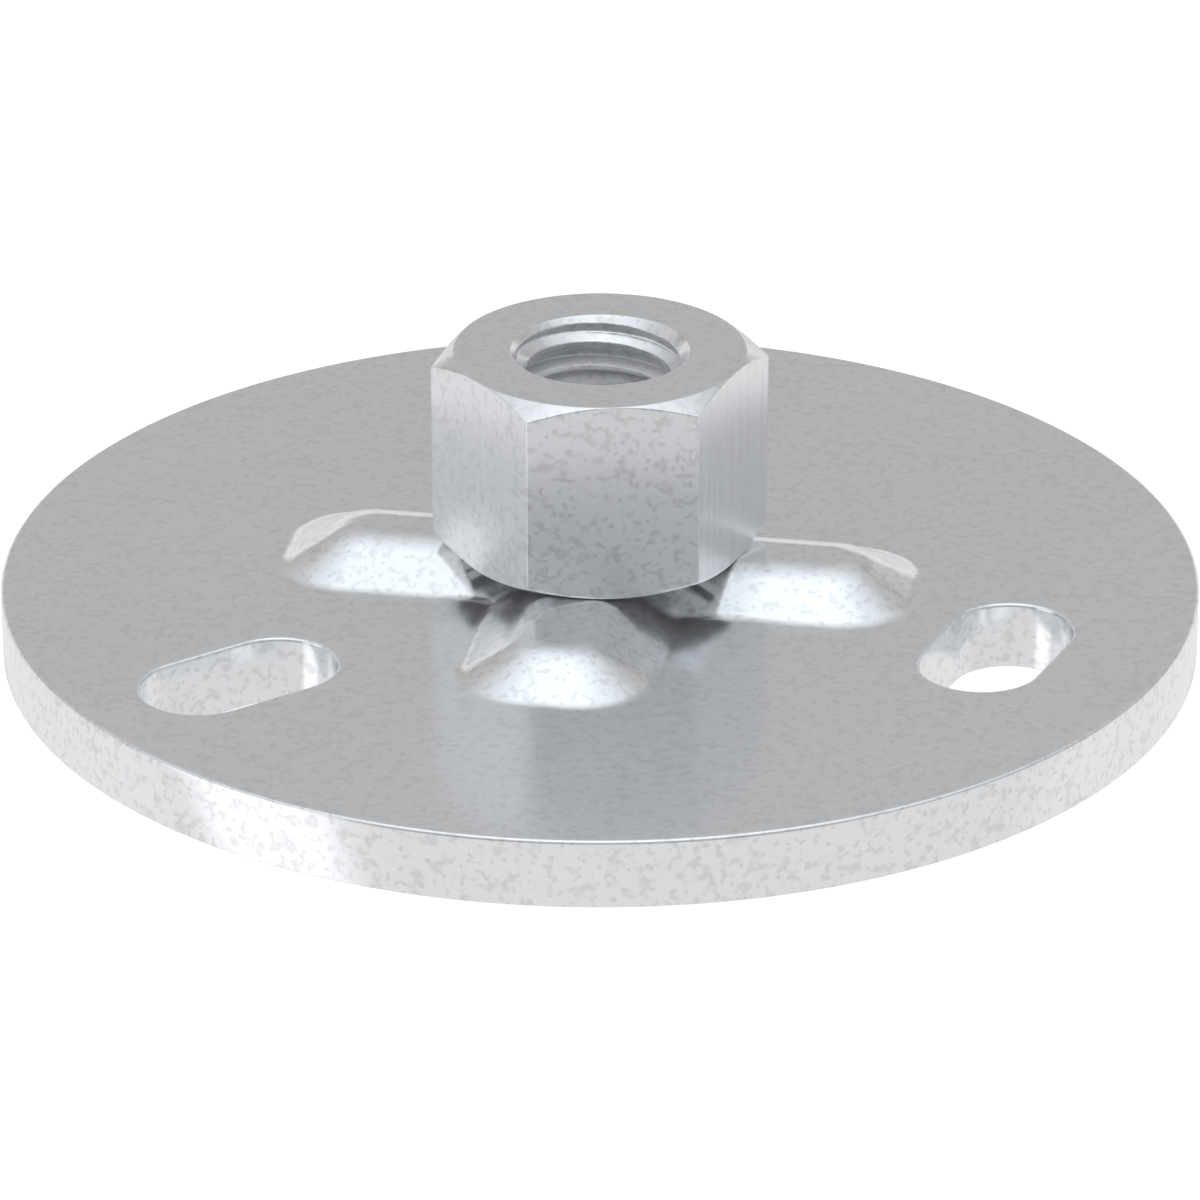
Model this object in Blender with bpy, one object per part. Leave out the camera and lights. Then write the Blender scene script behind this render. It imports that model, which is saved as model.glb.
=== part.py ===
"""Threaded base plate: a pressed steel disc with three screw slots, and a hexagon nut on its raised cross.

The origin is the middle of the disc's underside and +Z points away from the wall. Lengths are in metres.
The arms of the raised cross lie along X and Y.
"""

import math

import bmesh
import bpy
from mathutils import Euler, Vector

MM = 0.001

# Disc
PLATE_DIAMETER = 70.0 * MM
SHEET_THICKNESS = 4.0 * MM
RIM_EDGE_RADIUS = 0.2 * MM

# Screw slots, each facing one flat of the nut
SLOT_COUNT = 3
SLOT_WIDTH = 6.9 * MM
SLOT_LENGTH = 12.0 * MM
SLOT_TO_RIM = 10.0 * MM
SLOT_EDGE_RADIUS = 0.2 * MM
RADIAL_SLOT_BEARING = math.radians(-135.0)

# Raised cross, pressed up from below
ARM_COUNT = 4
CROSS_RISE = 1.95 * MM
FLANK_ANGLE = math.radians(30.0)
CROWN_HALF_WIDTH = 1.0 * MM
CROWN_CORNER_RADIUS = 0.5 * MM
CROWN_ROUND_RADIUS = 3.8 * MM
FOOT_FILLET_RADIUS = 1.8 * MM
ARMPIT_RADIUS = 1.8 * MM
SHORTEST_STRAIGHT = 0.3 * MM
ARM_TO_SLOT_LAND = 2.35 * MM
RECESS_ROUND_RADIUS = 0.4 * MM
RECESS_CORNER_RADIUS = 0.1 * MM

# Nut
NUT_SIDES = 6
ACROSS_FLATS = 17.0 * MM
NUT_HEIGHT = 11.75 * MM
CHAMFER_ANGLE = math.radians(30.0)
CHAMFER_CIRCLE_INSET = 0.03 * MM
WELD_GAP = 0.3 * MM

# Thread, bored here at its minor diameter
THREAD_MAJOR_DIAMETER = 10.0 * MM
THREAD_PITCH = 1.5 * MM
THREAD_DEPTH_RATIO = 0.5413
COUNTERSINK_MARGIN = 0.2 * MM
COUNTERSINK_ANGLE = math.radians(45.0)

# Facets
RIM_SEGMENTS = 180
RIM_EDGE_SEGMENTS = 3
SLOT_END_SEGMENTS = 12
SLOT_EDGE_SEGMENTS = 3
ARM_CORNER_SEGMENTS = 8
ARMPIT_SEGMENTS = 8
CROWN_ROUND_SEGMENTS = 6
FOOT_FILLET_SEGMENTS = 5
NUT_FLAT_SEGMENTS = 12
SMOOTH_ANGLE = math.radians(25.0)

# Worked out from the values above
QUARTER_TURN = math.pi / 2.0
HALF_TURN = math.pi
FULL_TURN = 2.0 * math.pi
PLATE_RADIUS = PLATE_DIAMETER / 2.0
SLOT_CIRCLE_RADIUS = PLATE_RADIUS - SLOT_TO_RIM
HALF_BEND = math.tan(FLANK_ANGLE / 2.0)
FLANK_RUN = (CROWN_ROUND_RADIUS + FOOT_FILLET_RADIUS) * HALF_BEND + CROSS_RISE / math.tan(FLANK_ANGLE)
FOOT_REACH = SLOT_CIRCLE_RADIUS - SLOT_WIDTH / 2.0 - SLOT_EDGE_RADIUS - ARM_TO_SLOT_LAND
FOOT_HALF_WIDTH = CROWN_HALF_WIDTH + FLANK_RUN
CROWN_REACH = FOOT_REACH - FLANK_RUN
CROWN_TOP = SHEET_THICKNESS + CROSS_RISE
NUT_UNDERSIDE = CROWN_TOP + WELD_GAP
APOTHEM = ACROSS_FLATS / 2.0
HALF_SIDE_ANGLE = math.pi / NUT_SIDES
CHAMFER_CIRCLE_RADIUS = APOTHEM - CHAMFER_CIRCLE_INSET
THREAD_MINOR_RADIUS = THREAD_MAJOR_DIAMETER / 2.0 - THREAD_DEPTH_RATIO * THREAD_PITCH
COUNTERSINK_RADIUS = THREAD_MAJOR_DIAMETER / 2.0 + COUNTERSINK_MARGIN
COUNTERSINK_DEPTH = (COUNTERSINK_RADIUS - THREAD_MINOR_RADIUS) / math.tan(COUNTERSINK_ANGLE)


def clear_scene():
    """Remove every object that the new file opens with."""
    for obj in list(bpy.data.objects):
        bpy.data.objects.remove(obj, do_unlink=True)


def steel(name, colour, roughness):
    """Bare zinc-plated steel as a metallic Principled material."""
    material = bpy.data.materials.new(name)
    material.use_nodes = True
    shader = material.node_tree.nodes["Principled BSDF"]
    shader.inputs["Base Color"].default_value = (*colour, 1.0)
    shader.inputs["Metallic"].default_value = 1.0
    shader.inputs["Roughness"].default_value = roughness
    return material


def arc(centre_x, centre_y, radius, start, sweep, segments):
    """Plan points along a circular arc, both ends included."""
    points = []
    for step in range(segments + 1):
        angle = start + sweep * step / segments
        points.append((centre_x + radius * math.cos(angle), centre_y + radius * math.sin(angle)))
    return points


def turned(points, angle, centre=(0.0, 0.0)):
    """Plan points turned about the origin, then shifted to a centre."""
    cosine, sine = math.cos(angle), math.sin(angle)
    return [(centre[0] + x * cosine - y * sine, centre[1] + x * sine + y * cosine) for x, y in points]


def circle_outline(radius):
    """The rim's plan outline."""
    return arc(0.0, 0.0, radius, 0.0, FULL_TURN, RIM_SEGMENTS)[:-1]


def slot_outline(index, growth):
    """One slot's plan outline, grown on every side.

    The first slot points at the middle of the plate, and the others lie across that direction.
    """
    bearing = RADIAL_SLOT_BEARING + FULL_TURN * index / SLOT_COUNT
    direction = bearing if index == 0 else bearing + QUARTER_TURN
    half_run = (SLOT_LENGTH - SLOT_WIDTH) / 2.0
    end_radius = SLOT_WIDTH / 2.0 + growth
    outline = arc(half_run, 0.0, end_radius, -QUARTER_TURN, HALF_TURN, SLOT_END_SEGMENTS)
    outline += arc(-half_run, 0.0, end_radius, QUARTER_TURN, HALF_TURN, SLOT_END_SEGMENTS)
    centre = (SLOT_CIRCLE_RADIUS * math.cos(bearing), SLOT_CIRCLE_RADIUS * math.sin(bearing))
    return turned(outline, direction, centre)


def cross_outline(distance):
    """The cross's plan outline at a distance outside the edge of its flat crown.

    All these outlines are parallel: the arms' corners grow with the distance, and the armpits between the
    arms tighten by as much. The roundings leave the arms' sides and ends a short straight run.
    """
    half_width = CROWN_HALF_WIDTH + distance
    reach = CROWN_REACH + distance
    crown_corner = min(CROWN_CORNER_RADIUS, CROWN_HALF_WIDTH - SHORTEST_STRAIGHT / 2.0)
    corner = max(crown_corner + distance, RECESS_CORNER_RADIUS)
    foot_side = FOOT_REACH - FOOT_HALF_WIDTH - crown_corner - FLANK_RUN
    armpit = min(ARMPIT_RADIUS, foot_side - SHORTEST_STRAIGHT) + FLANK_RUN - distance
    armpit_centre = half_width + armpit
    arm = arc(reach - corner, corner - half_width, corner, -QUARTER_TURN, QUARTER_TURN, ARM_CORNER_SEGMENTS)
    arm += arc(reach - corner, half_width - corner, corner, 0.0, QUARTER_TURN, ARM_CORNER_SEGMENTS)
    arm += arc(armpit_centre, armpit_centre, armpit, -QUARTER_TURN, -QUARTER_TURN, ARMPIT_SEGMENTS)
    outline = []
    for index in range(ARM_COUNT):
        outline += turned(arm, FULL_TURN * index / ARM_COUNT)
    return outline


def bend_profile(crown_edge, crown_radius, foot_radius, base):
    """Distance and height along a double bend, from the crown's edge down to the foot.

    A convex arc leaves the crown, a straight flank follows, and a concave arc lands on the sheet.
    """
    profile = []
    for step in range(CROWN_ROUND_SEGMENTS + 1):
        slope = FLANK_ANGLE * step / CROWN_ROUND_SEGMENTS
        drop = crown_radius * (1.0 - math.cos(slope))
        profile.append((crown_edge + crown_radius * math.sin(slope), base + CROSS_RISE - drop))
    foot_edge = crown_edge + (crown_radius + foot_radius) * HALF_BEND + CROSS_RISE / math.tan(FLANK_ANGLE)
    for step in range(FOOT_FILLET_SEGMENTS + 1):
        slope = FLANK_ANGLE * (1.0 - step / FOOT_FILLET_SEGMENTS)
        lift = foot_radius * (1.0 - math.cos(slope))
        profile.append((foot_edge - foot_radius * math.sin(slope), base + lift))
    return profile


def top_profile():
    """The upper face's double bend."""
    return bend_profile(0.0, CROWN_ROUND_RADIUS, FOOT_FILLET_RADIUS, SHEET_THICKNESS)


def recess_profile():
    """The lower face's double bend, one sheet thickness inside the upper one."""
    crown_radius = max(CROWN_ROUND_RADIUS - SHEET_THICKNESS, RECESS_ROUND_RADIUS)
    crown_edge = (CROWN_ROUND_RADIUS - SHEET_THICKNESS - crown_radius) * HALF_BEND
    return bend_profile(crown_edge, crown_radius, FOOT_FILLET_RADIUS + SHEET_THICKNESS, 0.0)


def edge_profile(radius, segments):
    """How far a rounded top edge stands back from its wall, and its height, from the face to the wall."""
    profile = []
    for step in range(segments + 1):
        slope = QUARTER_TURN * step / segments
        height = SHEET_THICKNESS - radius * (1.0 - math.cos(slope))
        profile.append((radius * (1.0 - math.sin(slope)), height))
    return profile


def add_ring(mesh, outline, height):
    """Vertices for one plan outline at one height."""
    return [mesh.verts.new((x, y, height)) for x, y in outline]


def loft(mesh, rings, closed=False):
    """Skin neighbouring rings with quads, and the last ring to the first where the skin is closed."""
    pairs = list(zip(rings, rings[1:]))
    if closed:
        pairs.append((rings[-1], rings[0]))
    for lower, upper in pairs:
        for index in range(len(lower)):
            following = (index + 1) % len(lower)
            mesh.faces.new((lower[index], lower[following], upper[following], upper[index]))


def fill_flat(mesh, rings):
    """Cover the flat area that the first ring bounds and the other rings pierce."""
    edges = []
    for ring in rings:
        for index, vertex in enumerate(ring):
            following = ring[(index + 1) % len(ring)]
            edges.append(mesh.edges.get((vertex, following)))
    bmesh.ops.triangle_fill(mesh, use_beauty=True, edges=edges)


def add_object(name, mesh, material):
    """Turn a finished bmesh into a named object with outward faces and smooth round surfaces."""
    bmesh.ops.recalc_face_normals(mesh, faces=mesh.faces)
    data = bpy.data.meshes.new(name)
    mesh.to_mesh(data)
    mesh.free()
    data.materials.append(material)
    data.shade_smooth()
    data.set_sharp_from_angle(angle=SMOOTH_ANGLE)
    obj = bpy.data.objects.new(name, data)
    bpy.context.scene.collection.objects.link(obj)
    return obj


def build_base_plate():
    """The disc: one sheet with a rounded upper rim, three slots and the hollow raised cross."""
    mesh = bmesh.new()
    rim = []
    for inset, height in edge_profile(RIM_EDGE_RADIUS, RIM_EDGE_SEGMENTS):
        rim.append(add_ring(mesh, circle_outline(PLATE_RADIUS - inset), height))
    rim.append(add_ring(mesh, circle_outline(PLATE_RADIUS), 0.0))
    loft(mesh, rim)

    slots = []
    for index in range(SLOT_COUNT):
        wall = []
        for inset, height in edge_profile(SLOT_EDGE_RADIUS, SLOT_EDGE_SEGMENTS):
            wall.append(add_ring(mesh, slot_outline(index, inset), height))
        wall.append(add_ring(mesh, slot_outline(index, 0.0), 0.0))
        loft(mesh, wall)
        slots.append(wall)

    crown = [add_ring(mesh, cross_outline(distance), height) for distance, height in top_profile()]
    loft(mesh, crown)
    recess = [add_ring(mesh, cross_outline(distance), height) for distance, height in recess_profile()]
    loft(mesh, recess)

    fill_flat(mesh, [rim[0], crown[-1]] + [wall[0] for wall in slots])
    fill_flat(mesh, [rim[-1], recess[-1]] + [wall[-1] for wall in slots])
    fill_flat(mesh, [crown[0]])
    fill_flat(mesh, [recess[0]])
    return add_object("base_plate", mesh, steel("zinc_plated_sheet", (0.60, 0.61, 0.63), 0.28))


def hexagon_points():
    """Angle and radius of each point round the hexagon, with a flat facing +X."""
    points = []
    for step in range(NUT_SIDES * NUT_FLAT_SEGMENTS):
        from_corner = 2.0 * HALF_SIDE_ANGLE * (step % NUT_FLAT_SEGMENTS) / NUT_FLAT_SEGMENTS
        angle = 2.0 * HALF_SIDE_ANGLE * step / NUT_FLAT_SEGMENTS - HALF_SIDE_ANGLE
        points.append((angle, APOTHEM / math.cos(from_corner - HALF_SIDE_ANGLE)))
    return points


def nut_ring(mesh, radius, height):
    """A round ring of the nut, with a point for each point of the hexagon."""
    angles = [angle for angle, _ in hexagon_points()]
    return [mesh.verts.new((radius * math.cos(angle), radius * math.sin(angle), height)) for angle in angles]


def nut_edge(mesh, face_height, inward):
    """The scalloped line where the chamfer cone meets the flats, measured inward from an end face."""
    ring = []
    for angle, radius in hexagon_points():
        depth = (radius - CHAMFER_CIRCLE_RADIUS) * math.tan(CHAMFER_ANGLE)
        height = face_height + inward * depth
        ring.append(mesh.verts.new((radius * math.cos(angle), radius * math.sin(angle), height)))
    return ring


def build_threaded_nut():
    """The hexagon nut: chamfered and countersunk at both ends, and bored through for its thread."""
    mesh = bmesh.new()
    rings = [
        nut_ring(mesh, THREAD_MINOR_RADIUS, NUT_HEIGHT - COUNTERSINK_DEPTH),
        nut_ring(mesh, COUNTERSINK_RADIUS, NUT_HEIGHT),
        nut_ring(mesh, CHAMFER_CIRCLE_RADIUS, NUT_HEIGHT),
        nut_edge(mesh, NUT_HEIGHT, -1.0),
        nut_edge(mesh, 0.0, 1.0),
        nut_ring(mesh, CHAMFER_CIRCLE_RADIUS, 0.0),
        nut_ring(mesh, COUNTERSINK_RADIUS, 0.0),
        nut_ring(mesh, THREAD_MINOR_RADIUS, COUNTERSINK_DEPTH),
    ]
    loft(mesh, rings, closed=True)
    return add_object("threaded_nut", mesh, steel("zinc_plated_nut", (0.63, 0.64, 0.66), 0.25))


def main():
    """Build both pieces and set the nut on the cross, its flats facing the slots."""
    clear_scene()
    plate = build_base_plate()
    nut = build_threaded_nut()
    nut.parent = plate
    nut.location = Vector((0.0, 0.0, NUT_UNDERSIDE))
    nut.rotation_euler = Euler((0.0, 0.0, RADIAL_SLOT_BEARING))


main()
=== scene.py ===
"""Looks of the threaded base plate: a pressed disc and the hexagon nut on its raised cross.

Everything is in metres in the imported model's frame: the disc's underside is at z = 0, the thread runs
along Z and the arms of the cross lie along X and Y. Each piece is a skin worked out as whole numpy
arrays, and its finish is zinc-plated steel with a fine grey fleck.
"""

import logging
import math
from dataclasses import dataclass, field
from enum import Enum

import bmesh
import bpy
import numpy as np
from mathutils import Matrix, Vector


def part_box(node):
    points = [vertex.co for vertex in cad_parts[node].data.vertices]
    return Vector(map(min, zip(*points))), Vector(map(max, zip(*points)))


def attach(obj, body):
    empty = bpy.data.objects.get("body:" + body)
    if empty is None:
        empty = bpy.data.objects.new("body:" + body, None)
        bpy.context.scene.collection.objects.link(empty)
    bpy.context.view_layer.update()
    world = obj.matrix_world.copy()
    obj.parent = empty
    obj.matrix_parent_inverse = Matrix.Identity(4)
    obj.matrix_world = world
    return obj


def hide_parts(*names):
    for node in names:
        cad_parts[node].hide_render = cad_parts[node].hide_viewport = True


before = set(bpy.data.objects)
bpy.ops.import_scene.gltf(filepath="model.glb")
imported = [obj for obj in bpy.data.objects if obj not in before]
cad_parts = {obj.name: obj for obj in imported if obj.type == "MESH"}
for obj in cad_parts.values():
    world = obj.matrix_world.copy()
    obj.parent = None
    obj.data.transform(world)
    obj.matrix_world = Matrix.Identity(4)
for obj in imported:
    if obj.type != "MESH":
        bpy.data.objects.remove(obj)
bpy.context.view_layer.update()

log = logging.getLogger("threaded_base_plate")

MM = 0.001
QUARTER_TURN = math.pi / 2.0
FULL_TURN = 2.0 * math.pi
LEVEL_TOLERANCE = 0.001 * MM

WHITE = (1.0, 1.0, 1.0, 1.0)
BLACK = (0.0, 0.0, 0.0, 1.0)

Feed = float | tuple[float, ...] | bpy.types.NodeSocket


class SlotLie(Enum):
    """Which way a slot lies against the line from the disc's middle, as an angle to that line."""

    ALONG = 0.0
    ACROSS = QUARTER_TURN


class NutEnd(Enum):
    """An end of the nut, as the way its face points along Z."""

    FREE = 1.0
    WELDED = -1.0


def circle_arc(
    centre: tuple[np.ndarray, np.ndarray], radius: np.ndarray, start: float, sweep: float, segments: int
) -> np.ndarray:
    """Points along circular arcs in plan, one row for each centre and radius.

    A point is the centre plus the radius times the cosine and sine of an angle that grows evenly.

    Args:
        centre: The arcs' centres, as two arrays of one length.
        radius: The arcs' radii.
        start: The first point's angle.
        sweep: The angle that each arc turns through.
        segments: The number of steps along each arc.

    Returns:
        An array of rows by points by two.
    """
    angle = start + sweep * np.linspace(0.0, 1.0, segments + 1)
    x = centre[0][:, None] + radius[:, None] * np.cos(angle)
    y = centre[1][:, None] + radius[:, None] * np.sin(angle)
    return np.stack([x, y], axis=-1)


def turned(points: np.ndarray, angle: float) -> np.ndarray:
    """Plan points turned about the origin.

    Args:
        points: An array whose last axis is x and y.
        angle: The angle to turn through.

    Returns:
        The turned points, in an array of the same shape.
    """
    cosine, sine = math.cos(angle), math.sin(angle)
    turn = np.array([[cosine, sine], [-sine, cosine]])
    return points @ turn


def lifted(plan: np.ndarray, height: np.ndarray) -> np.ndarray:
    """Plan outlines, each lifted to its own height.

    Args:
        plan: An array of outlines by points by two.
        height: One height for each outline.

    Returns:
        An array of outlines by points by three.
    """
    lift = np.broadcast_to(height[:, None, None], plan.shape[:2] + (1,))
    return np.concatenate([plan, lift], axis=-1)


def rounded_section(corners: np.ndarray, radii: np.ndarray, segments: int) -> np.ndarray:
    """Sections with every inner corner rounded by an arc.

    At a corner the path comes in along a unit direction u and leaves along v, turning by an angle t. The
    arc starts at the corner less r tan(t / 2) times u. At an angle a along it, it has gone r sin(a)
    along u and r (1 - cos(a)) along w, the unit direction square to u on the side of v.

    Args:
        corners: Rows of section corners, as rows by corners by two. The first and last are kept sharp.
        radii: Rounding radii of the inner corners, as rows by corners less two.
        segments: The number of steps along each rounding.

    Returns:
        An array of rows by points by two.
    """
    path = np.diff(corners, axis=1)
    path /= np.linalg.norm(path, axis=-1, keepdims=True)
    u, v = path[:, :-1], path[:, 1:]
    cosine = np.sum(u * v, axis=-1, keepdims=True)
    w = v - cosine * u
    w /= np.linalg.norm(w, axis=-1, keepdims=True)
    turn = np.arccos(np.clip(cosine, -1.0, 1.0))
    radius = radii[..., None]
    start = corners[:, 1:-1] - radius * np.tan(turn / 2.0) * u
    angle = turn[..., None, :] * np.linspace(0.0, 1.0, segments + 1)[None, None, :, None]
    along = radius[..., None, :] * np.sin(angle) * u[..., None, :]
    across = radius[..., None, :] * (1.0 - np.cos(angle)) * w[..., None, :]
    arcs = start[..., None, :] + along + across
    rounded = arcs.reshape(len(corners), -1, 2)
    return np.concatenate([corners[:, :1], rounded, corners[:, -1:]], axis=1)


@dataclass
class Skin:
    """A mesh gathered from grids of points, closed by flat faces at given heights."""

    name: str
    points: list[np.ndarray] = field(default_factory=list)
    quads: list[np.ndarray] = field(default_factory=list)
    total: int = 0

    def add_tube(self, grid: np.ndarray, inward: bool = False) -> None:
        """Add a grid whose rows are closed rings, each joined to the next by quads.

        Row i and column j become point i * columns + j, and column j's neighbour is j + 1, or 0 at the
        end of the ring.

        Args:
            grid: An array of rings by points by three, running anticlockwise and upwards.
            inward: Whether the tube's faces point towards its middle, as a hole's wall does.
        """
        rings, count = grid.shape[:2]
        ring = np.arange(rings - 1)[:, None] * count
        column = np.arange(count)[None, :]
        following = (column + 1) % count
        corners = [ring + column, ring + following, ring + count + following, ring + count + column]
        faces = np.stack(corners, axis=-1).reshape(-1, 4) + self.total
        self.quads.append(faces[:, ::-1] if inward else faces)
        self.points.append(grid.reshape(-1, 3))
        self.total += rings * count

    def mesh_data(self) -> bpy.types.Mesh:
        """Make the mesh of all tubes as they are.

        Returns:
            The mesh, with the tubes' ends open.
        """
        data = bpy.data.meshes.new(self.name)
        data.from_pydata(np.concatenate(self.points), [], np.concatenate(self.quads))
        return data

    def finish(self, flat_heights: list[float]) -> bpy.types.Object:
        """Make the mesh, close it with flat faces and link it to the scene.

        Args:
            flat_heights: The heights of the flat faces. At each, the open rings bound one flat area.

        Returns:
            The finished object, at the origin, smooth and with its faces pointing out.
        """
        data = self.mesh_data()
        mesh = bmesh.new()
        mesh.from_mesh(data)
        for height in flat_heights:
            edges = [edge for edge in mesh.edges if edge.is_boundary and self._lies_at(edge, height)]
            bmesh.ops.triangle_fill(mesh, use_beauty=True, edges=edges)
        bmesh.ops.recalc_face_normals(mesh, faces=mesh.faces)
        mesh.to_mesh(data)
        mesh.free()
        data.shade_smooth()
        return linked(self.name, data)

    @staticmethod
    def _lies_at(edge: bmesh.types.BMEdge, height: float) -> bool:
        """Whether both ends of an edge are at a height."""
        return all(abs(vertex.co.z - height) < LEVEL_TOLERANCE for vertex in edge.verts)


def linked(name: str, data: bpy.types.ID) -> bpy.types.Object:
    """Make an object and link it to the scene.

    Args:
        name: The object's name.
        data: The mesh or camera that it holds.

    Returns:
        The new object.
    """
    thing = bpy.data.objects.new(name, data)
    bpy.context.scene.collection.objects.link(thing)
    return thing


@dataclass(frozen=True)
class EdgeRound:
    """The rounding of a punched edge, carried along the edge's plan outline."""

    radius: float
    land: float = 0.06 * MM
    segments: int = 8

    def section(self) -> tuple[np.ndarray, np.ndarray]:
        """The rounding's section, from a narrow strip of the flat face down to the wall.

        At a slope s from the flat, the section stands r (1 - sin(s)) back from the wall and lies
        r (1 - cos(s)) below the face. The strip ahead of it keeps the flat face's shading flat.

        Returns:
            How far each point stands back from the wall, and how far it lies below the face.
        """
        slope = QUARTER_TURN * np.linspace(0.0, 1.0, self.segments + 1)
        inset = self.radius * (1.0 - np.sin(slope))
        drop = self.radius * (1.0 - np.cos(slope))
        return np.append(self.radius + self.land, inset), np.append(0.0, drop)


@dataclass(frozen=True)
class ScrewSlot:
    """One slot for a fixing screw, punched from above."""

    bearing: float
    lie: SlotLie
    width: float = 6.9 * MM
    length: float = 12.0 * MM
    circle_radius: float = 25.0 * MM
    end_segments: int = 40

    def outline(self, growth: np.ndarray) -> np.ndarray:
        """Plan outlines of the slot, one for each growth of its wall outwards.

        The outline is two half circles, of half the width plus the growth, whose centres are half the
        straight run either side of the slot's middle.

        Args:
            growth: How far each outline stands outside the slot's wall.

        Returns:
            An array of outlines by points by two.
        """
        run = np.full_like(growth, (self.length - self.width) / 2.0)
        still = np.zeros_like(growth)
        radius = self.width / 2.0 + growth
        far = circle_arc((run, still), radius, -QUARTER_TURN, math.pi, self.end_segments)
        near = circle_arc((-run, still), radius, QUARTER_TURN, math.pi, self.end_segments)
        middle = self.circle_radius * np.array([math.cos(self.bearing), math.sin(self.bearing)])
        return turned(np.concatenate([far, near], axis=1), self.bearing + self.lie.value) + middle


@dataclass(frozen=True)
class RaisedCross:
    """The cross with four arms, pressed up from below with soft bends."""

    rise: float
    reach: float = 19.0 * MM
    foot_half_width: float = 5.88 * MM
    flank_angle: float = math.radians(30.0)
    crown_corner_radius: float = 0.9 * MM
    foot_corner_radius: float = 4.4 * MM
    crown_round_radius: float = 3.8 * MM
    foot_fillet_radius: float = 1.5 * MM
    armpit_radius: float = 0.5 * MM
    recess_round_radius: float = 0.4 * MM
    recess_corner_radius: float = 0.1 * MM
    land: float = 0.08 * MM
    arm_count: int = 4
    corner_segments: int = 24
    bend_segments: int = 16

    def _run(self, crown_radius: float, foot_radius: float) -> float:
        """How far a double bend with these radii reaches in plan, from the crown's edge to the foot."""
        rounds = (crown_radius + foot_radius) * math.tan(self.flank_angle / 2.0)
        return rounds + self.rise / math.tan(self.flank_angle)

    def _outline(self, distance: np.ndarray) -> np.ndarray:
        """Plan outlines of the cross, one for each distance outside its flat crown's edge.

        The sides are parallel. An arm's two corners are arcs whose radius grows evenly from the crown's
        to the foot's, and the armpit between two arms is an arc whose radius shrinks by the distance.

        Args:
            distance: How far each outline stands outside the crown's edge.

        Returns:
            An array of outlines by points by two.
        """
        flank_run = self._run(self.crown_round_radius, self.foot_fillet_radius)
        half_width = self.foot_half_width - flank_run + distance
        reach = self.reach - flank_run + distance
        growth = (self.foot_corner_radius - self.crown_corner_radius) / flank_run
        corner = self.crown_corner_radius + growth * distance
        corner = np.clip(corner, self.recess_corner_radius, half_width)
        armpit = self.armpit_radius + flank_run - distance
        pit = half_width + armpit
        across, inset = half_width - corner, reach - corner
        steps = self.corner_segments
        right = circle_arc((inset, -across), corner, -QUARTER_TURN, QUARTER_TURN, steps)
        left = circle_arc((inset, across), corner, 0.0, QUARTER_TURN, steps)
        inner = circle_arc((pit, pit), armpit, -QUARTER_TURN, -QUARTER_TURN, steps)
        arm = np.concatenate([right, left, inner], axis=1)
        arms = [turned(arm, FULL_TURN * index / self.arm_count) for index in range(self.arm_count)]
        return np.concatenate(arms, axis=1)

    def _bend(
        self, crown_edge: float, crown_radius: float, foot_radius: float
    ) -> tuple[np.ndarray, np.ndarray]:
        """A double bend's section, with a narrow flat strip at each end.

        A convex arc leaves the crown: at a slope s it has gone R sin(s) out and R (1 - cos(s)) down. A
        straight flank follows, and a concave arc lands on the sheet in the same way.

        Args:
            crown_edge: Where the convex arc starts, outside the upper crown's edge.
            crown_radius: The convex arc's radius.
            foot_radius: The concave arc's radius.

        Returns:
            The section's distances and its heights above the sheet.
        """
        slope = self.flank_angle * np.linspace(0.0, 1.0, self.bend_segments + 1)
        foot_edge = crown_edge + self._run(crown_radius, foot_radius)
        crown_out = crown_edge + crown_radius * np.sin(slope)
        crown_up = self.rise - crown_radius * (1.0 - np.cos(slope))
        foot_out = foot_edge - foot_radius * np.sin(slope[::-1])
        foot_up = foot_radius * (1.0 - np.cos(slope[::-1]))
        distance = np.concatenate([[crown_edge - self.land], crown_out, foot_out, [foot_edge + self.land]])
        height = np.concatenate([[self.rise], crown_up, foot_up, [0.0]])
        return distance, height

    def upper_skin(self, base: float) -> np.ndarray:
        """The cross's upper face, as rings from the sheet's upper face up to the crown."""
        distance, height = self._bend(0.0, self.crown_round_radius, self.foot_fillet_radius)
        return lifted(self._outline(distance), height + base)[::-1]

    def lower_skin(self, thickness: float) -> np.ndarray:
        """The recess below the cross, one sheet thickness inside its upper face.

        Both bends keep the upper ones' centres, so the convex radius loses the thickness and the concave
        one gains it. Where the convex one would vanish, it keeps a small radius instead.

        Args:
            thickness: The sheet's thickness.

        Returns:
            The recess's rings, from the underside up to its top.
        """
        inner_radius = self.crown_round_radius - thickness
        crown_radius = max(inner_radius, self.recess_round_radius)
        crown_edge = (inner_radius - crown_radius) * math.tan(self.flank_angle / 2.0)
        distance, height = self._bend(crown_edge, crown_radius, self.foot_fillet_radius + thickness)
        return lifted(self._outline(distance), height)[::-1]


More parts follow.
